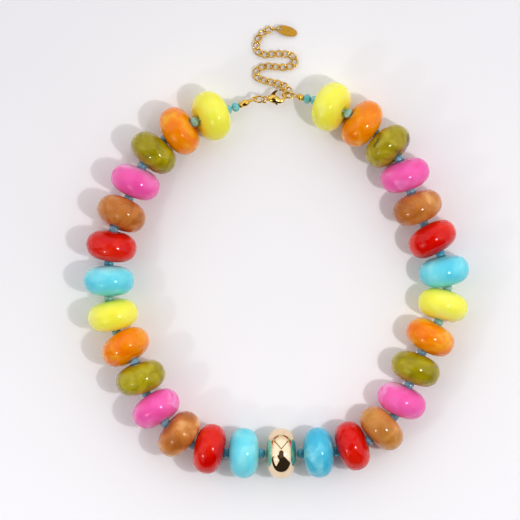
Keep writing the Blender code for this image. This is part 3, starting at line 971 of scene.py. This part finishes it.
@dataclass
class EndFittings:
    """The cord tips and the oval links beside them."""

    left_base: tuple[float, float, float] = (-16.6, 137.9, 5.8)
    left_loop: tuple[float, float, float] = (-10.75, 140.6, 4.8)
    right_base: tuple[float, float, float] = (9.0, 140.9, 5.8)
    right_loop: tuple[float, float, float] = (4.9, 142.1, 4.7)
    clasp_eye: tuple[float, float, float] = (-6.7, 140.45, 4.6)
    clasp_heading_deg: float = 10.0
    held_in_hook: tuple[float, float, float] = (7.45, 0.6, 0.1)
    left_tilt_deg: float = 48.0
    held_tilt_deg: float = -52.0
    link_seat_mm: float = 0.12
    # Depth and radius of the hole that takes the thread
    socket_mm: tuple[float, float] = (1.4, 0.85)
    # Outside of the cup: share of its length and radius
    cup: tuple[tuple[float, float], ...] = (
        (0.0, 1.2),
        (0.02, 1.3),
        (0.1, 1.32),
        (0.13, 1.22),
        (0.17, 1.08),
        (0.21, 1.06),
        (0.26, 1.16),
        (0.34, 1.36),
        (0.44, 1.45),
        (0.53, 1.4),
        (0.62, 1.18),
        (0.71, 0.88),
        (0.79, 0.66),
        (0.88, 0.52),
        (1.0, 0.42),
    )
    loop_radius_mm: float = 1.05
    eye_radius_mm: float = 1.2
    loop_wire_mm: float = 0.28
    link_half_width_mm: float = 1.65
    link_wire_mm: float = 0.36
    cup_sides: int = 40
    wire_sides: int = 16
    loop_steps: int = 40
    link_steps: int = 48

    def clasp_frame(self, layout: Layout) -> Matrix:
        """Frame of the clasp: the eye's middle, x towards the nose, level with the floor."""
        return axes_along(direction(self.clasp_heading_deg), layout.place(self.clasp_eye))

    def loop(self, form: Form, middle: Vector, forward: Vector, tilt_deg: float, radius_mm: float) -> None:
        """Add a small round loop whose plane holds the forward direction, turned about it by a tilt.

        Args:
            form: Form that gets the loop.
            middle: Middle of the loop.
            forward: Direction in its plane.
            tilt_deg: Turn of its plane out of the level.
            radius_mm: Radius of the wire's middle line.
        """
        flat = Vector((forward.x, forward.y, 0.0)).normalized()
        placement = axes_along(flat, middle) @ Matrix.Rotation(math.radians(tilt_deg), 4, "X")
        path = oval_path(placement, radius_mm * MM, radius_mm * MM, self.loop_steps)
        form.wire(path, self.loop_wire_mm, placement.col[2].to_3d(), self.wire_sides)

    def tip(
        self, name: str, node: str, base: Vector, loop_middle: Vector, link_tilt_deg: float, gold: Any
    ) -> None:
        """Make one tip: a turned cup on the thread's end, with a loop at its far side, square to its link.

        Args:
            name: Name of the piece.
            node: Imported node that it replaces.
            base: Middle of the cup's open end.
            loop_middle: Middle of the loop.
            link_tilt_deg: Tilt of the link that hangs in the loop.
            gold: Its material.
        """
        forward = (loop_middle - base).normalized()
        length = (loop_middle - base).length - (self.loop_radius_mm - self.loop_wire_mm) * MM
        depth, radius = (value * MM for value in self.socket_mm)
        profile = [(depth, radius), (0.0, radius)] + [(along * length, size * MM) for along, size in self.cup]
        cup = Form()
        cup.turn(profile, axes_along(forward, base), self.cup_sides, False)
        item = cup.piece(name, gold)
        loop = Form()
        self.loop(loop, loop_middle, forward, 90.0 + link_tilt_deg, self.loop_radius_mm)
        combined(item, loop.piece(name + "_loop", gold), "UNION")
        dress(item, NECKLACE, WARM_GOLD.slot, node)

    def build(self, layout: Layout, gold: bpy.types.Material) -> None:
        """Make both tips and both links.

        Args:
            layout: Where the beads lie.
            gold: Material of the fittings.
        """
        left_base, left_loop = layout.place(self.left_base), layout.place(self.left_loop)
        right_base, right_loop = layout.place(self.right_base), layout.place(self.right_loop)
        self.tip("left_tip", "tip_left", left_base, left_loop, self.left_tilt_deg, gold)
        self.tip("right_tip", "tip_right", right_base, right_loop, self.held_tilt_deg, gold)
        held = self.clasp_frame(layout) @ (Vector(self.held_in_hook) * MM)
        seat = direction(self.clasp_heading_deg) * self.link_seat_mm * MM
        eye = layout.place(self.clasp_eye)
        ends = (
            ("left_link", "link_left", left_loop + seat, eye - seat, self.left_tilt_deg),
            ("right_link", "link_right", right_loop - seat, held, self.held_tilt_deg),
        )
        for name, node, start, end, tilt in ends:
            placement = axes_along((end - start).normalized(), (start + end) * 0.5)
            placement = placement @ Matrix.Rotation(math.radians(tilt), 4, "X")
            half_length = (end - start).length * 0.5
            path = oval_path(placement, half_length, self.link_half_width_mm * MM, self.link_steps)
            form = Form()
            form.wire(path, self.link_wire_mm, placement.col[2].to_3d(), self.wire_sides)
            dress(form.piece(name, gold), NECKLACE, WARM_GOLD.slot, node)
        LOG.info("tips: 2, end links: 2")


@dataclass
class LobsterClasp:
    """The hooked body with its eye and pin, and the sprung lever on that pin."""

    # Middle line of the body from the eye to the nose, as x, y and radius from the eye's middle
    hook: tuple[tuple[float, float, float], ...] = (
        (0.85, 0.0, 0.42),
        (1.6, 0.0, 0.95),
        (2.5, -0.05, 1.5),
        (3.5, -0.35, 1.75),
        (4.6, -1.0, 1.6),
        (5.6, -1.6, 1.15),
        (6.6, -1.7, 0.92),
        (7.6, -1.25, 0.72),
        (8.4, -0.35, 0.6),
        (8.7, 0.7, 0.55),
        (8.35, 1.85, 0.52),
        (7.5, 2.6, 0.48),
        (6.6, 2.75, 0.4),
    )
    hook_steps: int = 6
    hook_sides: int = 32
    flatten: float = 0.75
    pivot: tuple[float, float] = (3.7, -0.4)
    pin_mm: float = 0.3
    pin_half_height_mm: float = 1.25
    # Slot for the lever: its start and end along the body, its reach to either side, its half height
    slot_mm: tuple[float, float, float, float] = (2.3, 5.7, 3.4, 0.5)
    lever_half_height_mm: float = 0.36
    lever_softening: int = 2
    corner_cut: float = 0.2
    lever_round_mm: float = 0.26
    lever_round_steps: int = 4
    lever_hole_mm: float = 0.5
    # Outline of the lever at rest, its nose on the hook's, its thumb tab at the other side
    lever: tuple[tuple[float, float], ...] = (
        (2.75, 0.2),
        (2.85, 1.2),
        (3.3, 2.0),
        (4.3, 2.6),
        (5.4, 2.85),
        (6.1, 2.4),
        (5.25, 1.95),
        (4.75, 1.3),
        (4.5, 0.4),
        (4.6, -0.9),
        (4.75, -1.9),
        (5.1, -2.95),
        (4.4, -3.15),
        (3.9, -2.2),
        (3.2, -1.4),
        (2.85, -0.7),
    )

    def lever_outline(self) -> list[tuple[float, float]]:
        """Outline of the lever in metres, its corners cut a number of times.

        Returns:
            Points of (x, y).
        """
        near, far = 1.0 - self.corner_cut, self.corner_cut
        points = list(self.lever)
        for _ in range(self.lever_softening):
            cut = []
            for start, end in zip(points, points[1:] + points[:1]):
                cut.append((near * start[0] + far * end[0], near * start[1] + far * end[1]))
                cut.append((far * start[0] + near * end[0], far * start[1] + near * end[1]))
            points = cut
        return [(x * MM, y * MM) for x, y in points]

    def build(self, placement: Matrix, fittings: EndFittings, gold: bpy.types.Material) -> None:
        """Make the body and the lever.

        Args:
            placement: Frame of the clasp.
            fittings: End fittings, which make the clasp's eye.
            gold: Material of the clasp.
        """
        upright = placement.col[2].to_3d()
        knots = [Vector(point) for point in self.hook]
        fine = smooth_path(knots, self.hook_steps)
        path = [placement @ Vector((point.x * MM, point.y * MM, 0.0)) for point in fine]
        form = Form()
        form.tube(path, [point.z * MM for point in fine], upright, self.hook_sides, flatten=self.flatten)
        body = form.piece("clasp_hook", gold, 45.0)
        start, end, reach, half = self.slot_mm
        corners = ((start, -reach), (end, -reach), (end, reach), (start, reach))
        slot = Form()
        slot.plate([(x * MM, y * MM) for x, y in corners], half * MM, placement)
        combined(body, slot.piece("slot", gold), "DIFFERENCE")
        pin = Form()
        pin.plate(circle(self.pin_mm, self.pivot), self.pin_half_height_mm * MM, placement)
        combined(body, pin.piece("pin", gold), "UNION")
        eye = Form()
        fittings.loop(eye, placement.translation, placement.col[0].to_3d(), 0.0, fittings.eye_radius_mm)
        combined(body, eye.piece("eye", gold), "UNION")
        dress(body, NECKLACE, WARM_GOLD.slot, "clasp_body")
        plate = Form()
        plate.plate(self.lever_outline(), self.lever_half_height_mm * MM, placement)
        lever = plate.piece("clasp_gate", gold, 30.0)
        hole = Form()
        hole.plate(circle(self.lever_hole_mm, self.pivot), self.pin_half_height_mm * MM, placement)
        combined(lever, hole.piece("hole", gold), "DIFFERENCE")
        rounded(lever, self.lever_round_mm, self.lever_round_steps)
        dress(lever, LEVER, WARM_GOLD.slot, "clasp_lever")
        LOG.info("clasp: body and lever")


@dataclass
class ExtenderChain:
    """Twisted oval links of the extender, each one closed wire through the next."""

    # From the last link of the strand to the tag's hole, in the loose curves in which it lies
    route: tuple[tuple[float, float, float], ...] = (
        (2.9, 142.9, 4.2),
        (2.7, 144.9, 2.9),
        (-0.6, 146.8, 1.45),
        (-6.0, 148.0, 1.2),
        (-9.5, 149.6, 1.15),
        (-9.4, 152.4, 1.15),
        (-5.6, 153.9, 1.15),
        (1.2, 153.4, 1.15),
        (5.2, 154.7, 1.15),
        (4.4, 158.1, 1.15),
        (-1.1, 158.9, 1.15),
        (-7.2, 158.6, 1.15),
        (-9.8, 161.2, 1.15),
        (-8.6, 165.8, 1.15),
        (-4.6, 168.5, 1.25),
        (-0.65, 168.75, 1.7),
    )
    pitch_mm: float = 2.8
    wire_mm: float = 0.33
    half_width_mm: float = 1.16
    twist_deg: float = 45.0
    last_turn_deg: float = 90.0
    packed_wire_mm: float = 0.35
    packed_fuse_mm: float = 0.1
    route_steps: int = 12
    link_steps: int = 32
    wire_sides: int = 12

    def end(self, layout: Layout) -> Vector:
        """Last point of the chain, in the hole of the tag."""
        return layout.place(self.route[-1])

    def build(self, layout: Layout, gold: bpy.types.Material) -> None:
        """Make the chain as one piece of many closed links.

        Args:
            layout: Where the beads lie.
            gold: Material of the links.
        """
        points = smooth_path([layout.place(knot) for knot in self.route], self.route_steps)
        total = sum((end - start).length for start, end in zip(points, points[1:]))
        reach = (0.5 * (self.pitch_mm - self.packed_fuse_mm) + self.packed_wire_mm) * MM
        count = round((total - 2.0 * reach) / (self.pitch_mm * MM)) + 1
        pitch = (total - 2.0 * reach) / (count - 1)
        half_length = 0.5 * pitch + self.wire_mm * MM
        form = Form()
        for index in range(count):
            middle, forward = along_path(points, reach + index * pitch)
            placement = axes_along(forward, middle)
            twist = self.twist_deg
            if index == count - 1:
                placement = placement @ Matrix.Rotation(math.radians(self.last_turn_deg), 4, "X")
                twist = 0.0
            path = oval_path(placement, half_length, self.half_width_mm * MM, self.link_steps, twist)
            form.wire(path, self.wire_mm, placement.col[2].to_3d(), self.wire_sides)
        dress(form.piece("extender_links", gold), NECKLACE, WARM_GOLD.slot, "chain")
        LOG.info("chain: %d links", count)


@dataclass
class PlainTag:
    """Pointed oval tag, stamped from flat brass and left bare."""

    heading_deg: float = -15.0
    drop_deg: float = 10.0
    length_mm: float = 8.7
    half_width_mm: float = 2.0
    thickness_mm: float = 0.4
    hole_inset_mm: float = 1.3
    hole_radius_mm: float = 0.75
    edge_mm: float = 0.08
    outline_steps: int = 80

    def build(self, hole_middle: Vector, gold: bpy.types.Material) -> None:
        """Make the tag, hung by its hole at a point.

        Args:
            hole_middle: Middle of the hole.
            gold: Material of the tag.
        """
        half = 0.5 * self.length_mm
        outline = []
        for step in range(self.outline_steps):
            turn = 2.0 * math.pi * step / self.outline_steps
            x = half - half * math.cos(turn) - self.hole_inset_mm
            outline.append((x * MM, self.half_width_mm * math.sin(turn) * MM))
        placement = axes_along(direction(self.heading_deg, -self.drop_deg), hole_middle)
        form = Form()
        form.plate(outline, 0.5 * self.thickness_mm * MM, placement)
        item = form.piece("plain_tag", gold, 30.0)
        hole = Form()
        hole.plate(circle(self.hole_radius_mm), self.thickness_mm * MM, placement)
        combined(item, hole.piece("tag_hole", gold), "DIFFERENCE")
        rounded(item, self.edge_mm)
        dress(item, NECKLACE, WARM_GOLD.slot, "tag")
        LOG.info("tag: 1")


@dataclass
class Studio:
    """Table, lights and camera."""

    pixel_mm: float = 0.396
    picture_px: int = 520
    sensor_mm: float = 36.0
    camera_height_mm: float = 1100.0
    bead_height_mm: float = 10.0
    camera_mm: tuple[float, float] = (-6.57, -3.43)
    table_mm: float = 1600.0
    # A small bare lamp gives each bead its sharp highlight, and a dish round it softens the shadows
    key_mm: tuple[float, float, float] = (238.0, -81.0, 475.0)
    key_radius_mm: float = 11.0
    key_watts: float = 0.71
    dish_behind: float = 1.02
    dish_radius_mm: float = 72.0
    dish_watts: float = 0.16
    # A square softbox at the front left gives the second highlight
    fill_mm: tuple[float, float, float] = (-262.0, -245.0, 279.0)
    fill_radius_mm: float = 12.0
    fill_watts: float = 0.17
    box_behind: float = 1.06
    box_mm: tuple[float, float] = (300.0, 330.0)
    box_watts: float = 0.34
    # The tent is white above and greyer low down, with a dark open front and the camera's port
    tent: str = "#FBFBFF"
    low_tent: str = "#CFCDCC"
    low_tent_top: float = 0.55
    tent_strength: float = 1.29
    front: str = "#29241F"
    port: str = "#544638"
    front_slopes: tuple[float, float] = (0.36, 0.16)
    front_fade: tuple[float, float] = (-0.05, 0.07)
    port_z: float = 0.95
    port_fade: float = 0.015
    seam: str = "#3A2A1C"
    seam_plane: tuple[float, float, float] = (-0.634, 0.705, -0.315)
    seam_fade: tuple[float, float] = (0.015, 0.06)

    def table(self) -> None:
        """Lay the board that the necklace is on."""
        half = 0.5 * self.table_mm * MM
        form = Form()
        corners = ((-half, -half), (half, -half), (half, half), (-half, half))
        form.cap(form.ring(Vector((x, y, 0.0)) for x, y in corners))
        board = form.piece("board", WHITE_BOARD.material())

    def lamp(
        self, name: str, place_mm: Sequence[float], shape: str, size_mm: Sequence[float], watts: float
    ) -> None:
        """Add one area light that looks at the middle of the necklace.

        Args:
            name: Name of the light.
            place_mm: Its place.
            shape: DISK or RECTANGLE.
            size_mm: Diameter of a disk, or both sides of a rectangle.
            watts: Its power.
        """
        data = bpy.data.lights.new(name, "AREA")
        data.shape = shape
        data.size = size_mm[0] * MM
        if shape == "RECTANGLE":
            data.size_y = size_mm[1] * MM
        data.energy = watts
        item = bpy.data.objects.new(name, data)
        item.location = Vector(place_mm) * MM
        item.rotation_mode = "QUATERNION"
        item.rotation_quaternion = (-item.location).to_track_quat("-Z", "Y")
        item.visible_camera = False
        bpy.context.scene.collection.objects.link(item)

    def surroundings(self) -> None:
        """White tent round the table, with its two back seams and the dark open front and camera port."""
        world = bpy.data.worlds.new("tent")
        world.use_nodes = True
        tree = world.node_tree
        tree.nodes.clear()
        ray = add_node(tree, "TexCoord").outputs["Generated"]
        x, y, z = add_node(tree, "SeparateXYZ", {0: ray}).outputs
        aside = add_node(tree, "Math", {0: x}, operation="ABSOLUTE").outputs[0]
        risen = ranged(tree, z, 0.0, self.low_tent_top)
        colour = mixed(tree, risen, linear(self.low_tent), linear(self.tent))
        mirrored = add_node(tree, "CombineXYZ", {0: aside, 1: y, 2: z}).outputs[0]
        plane = {0: mirrored, 1: self.seam_plane}
        side = add_node(tree, "VectorMath", plane, operation="DOT_PRODUCT").outputs["Value"]
        off = add_node(tree, "Math", {0: side}, operation="ABSOLUTE").outputs[0]
        colour = mixed(tree, ranged(tree, off, *self.seam_fade), linear(self.seam), colour)
        both, right = self.front_slopes
        edge = add_node(tree, "Math", {0: aside, 1: both, 2: y}, operation="MULTIPLY_ADD").outputs[0]
        edge = add_node(tree, "Math", {0: x, 1: right, 2: edge}, operation="MULTIPLY_ADD").outputs[0]
        colour = mixed(tree, ranged(tree, edge, *self.front_fade), linear(self.front), colour)
        port = ranged(tree, z, self.port_z - self.port_fade, self.port_z + self.port_fade)
        colour = mixed(tree, port, colour, linear(self.port))
        light = add_node(tree, "Background", {"Color": colour, "Strength": self.tent_strength})
        add_node(tree, "OutputWorld", {"Surface": light.outputs[0]})
        bpy.context.scene.world = world

    def build(self) -> None:
        """Set up the whole picture."""
        self.table()
        self.surroundings()
        self.lamp("key", self.key_mm, "DISK", (2.0 * self.key_radius_mm,), self.key_watts)
        behind = [self.dish_behind * value for value in self.key_mm]
        self.lamp("key_dish", behind, "DISK", (2.0 * self.dish_radius_mm,), self.dish_watts)
        self.lamp("fill_core", self.fill_mm, "DISK", (2.0 * self.fill_radius_mm,), self.fill_watts)
        far = [self.box_behind * value for value in self.fill_mm]
        self.lamp("fill_box", far, "RECTANGLE", self.box_mm, self.box_watts)
        data = bpy.data.cameras.new("camera")
        data.sensor_width = self.sensor_mm
        reach = self.camera_height_mm - self.bead_height_mm
        data.lens = self.sensor_mm * reach / (self.pixel_mm * self.picture_px)
        data.clip_end = 10.0
        camera = bpy.data.objects.new("camera", data)
        camera.location = Vector((*self.camera_mm, self.camera_height_mm)) * MM
        bpy.context.scene.collection.objects.link(camera)
        bpy.context.scene.camera = camera
        bpy.context.scene.view_settings.view_transform = "Standard"
        LOG.info("studio: table, 4 lights and camera")


def main() -> None:
    """Build the necklace and its picture."""
    logging.basicConfig(level=logging.INFO, format="%(name)s: %(message)s")
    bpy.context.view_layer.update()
    layout = Layout()
    layout.read()
    gold = WARM_GOLD.material()
    fittings = EndFittings()
    chain = ExtenderChain()
    RoundBeads().build(layout)
    Stringing().build(layout, layout.place(fittings.left_base), layout.place(fittings.right_base))
    fittings.build(layout, gold)
    LobsterClasp().build(fittings.clasp_frame(layout), fittings, gold)
    chain.build(layout, gold)
    PlainTag().build(chain.end(layout), BRUSHED_GOLD.material())
    Studio().build()


if __name__ == "__main__":
    main()
